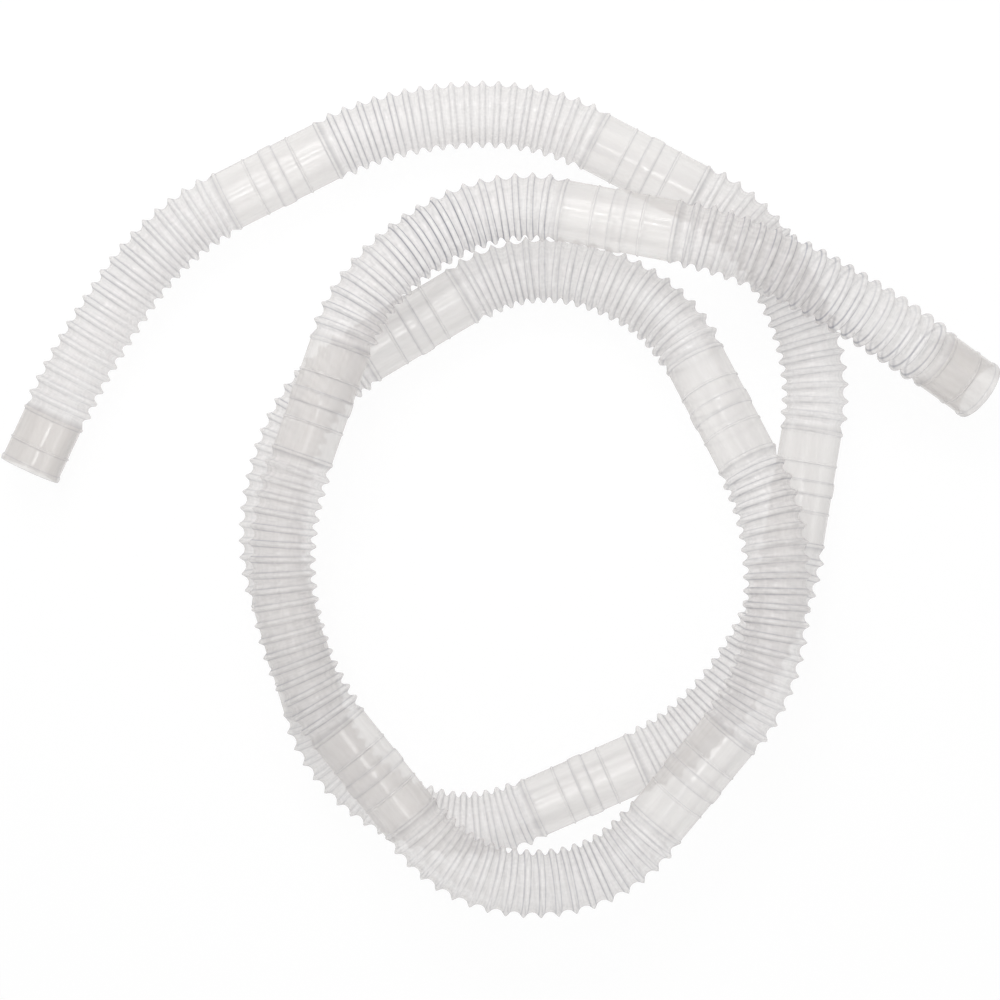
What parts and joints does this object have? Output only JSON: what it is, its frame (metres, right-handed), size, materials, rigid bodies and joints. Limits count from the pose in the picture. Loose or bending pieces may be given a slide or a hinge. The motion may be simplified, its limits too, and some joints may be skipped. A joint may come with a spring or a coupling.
{
  "type": "corrugated tubing",
  "caption": "Clear corrugated breathing tube with plain cuffs along it, lying in a loose coil; both ends are cut cuffs for round connectors.",
  "frame": {"origin": "on the table under the middle of the coil's box", "axes": "+X to the right and +Y up as the coil is seen from above in the picture, +Z up from the table"},
  "size_m": [0.3864, 0.3219, 0.0547],
  "materials": {
    "clear_plastic": "satin"
  },
  "bodies": {
    "root": {"corrugated_tube": "clear_plastic"}
  },
  "joints": []
}
